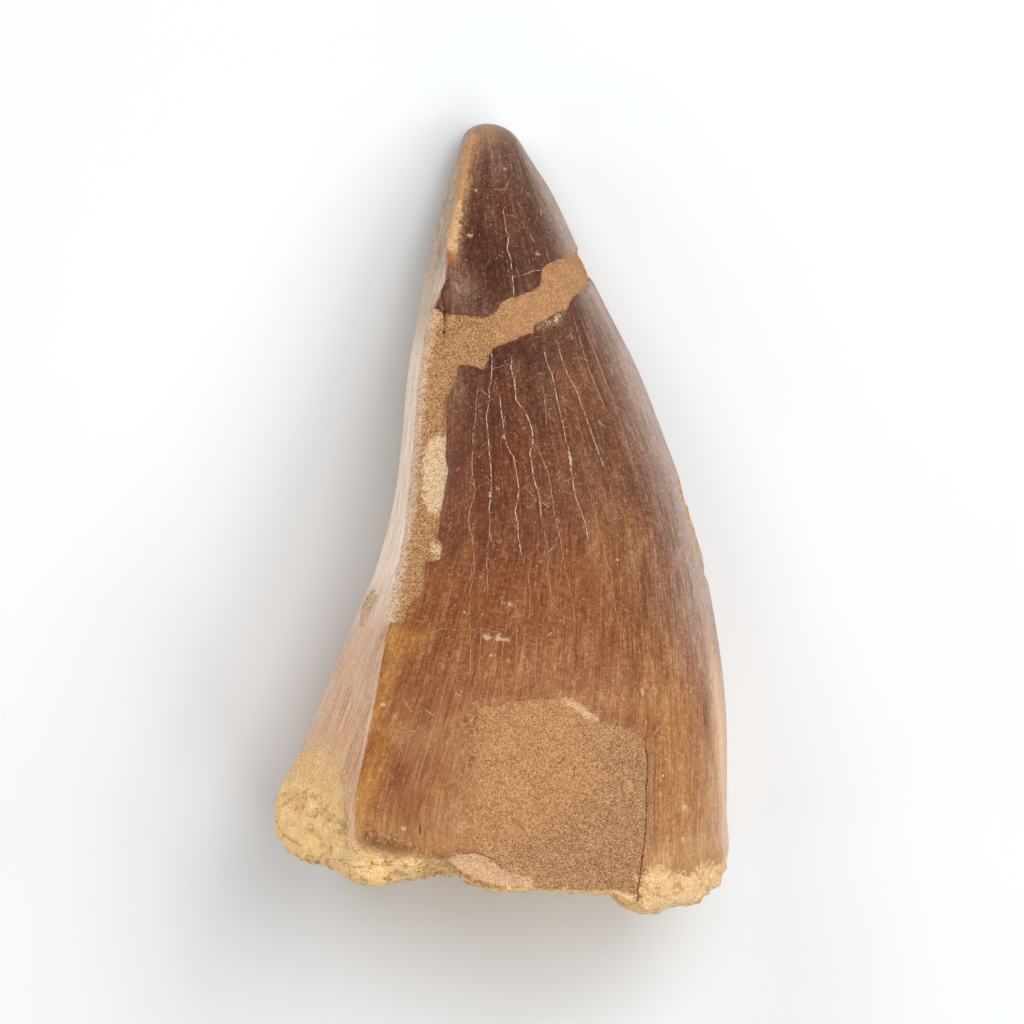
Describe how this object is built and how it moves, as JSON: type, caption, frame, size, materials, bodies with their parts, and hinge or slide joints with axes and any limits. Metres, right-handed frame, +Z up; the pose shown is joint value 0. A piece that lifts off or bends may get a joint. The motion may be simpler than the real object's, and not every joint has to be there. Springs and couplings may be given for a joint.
{
  "type": "fossil mosasaur tooth",
  "caption": "Curved conical fossil marine reptile tooth with two keels, a sandy repair across the crown and a broken base, lying on its side.",
  "frame": {"origin": "on the surface that the tooth lies on, under the middle of its bounding box", "axes": "+Y from the broken base to the tip, +X across the tooth towards its convex edge, +Z up from the surface"},
  "size_m": [0.0344, 0.06, 0.0266],
  "materials": {
    "fossil_tooth": "satin brown enamel with sandy repair and crumbly yellow base"
  },
  "bodies": {
    "root": {"mosasaur_tooth": "fossil_tooth"}
  },
  "joints": []
}
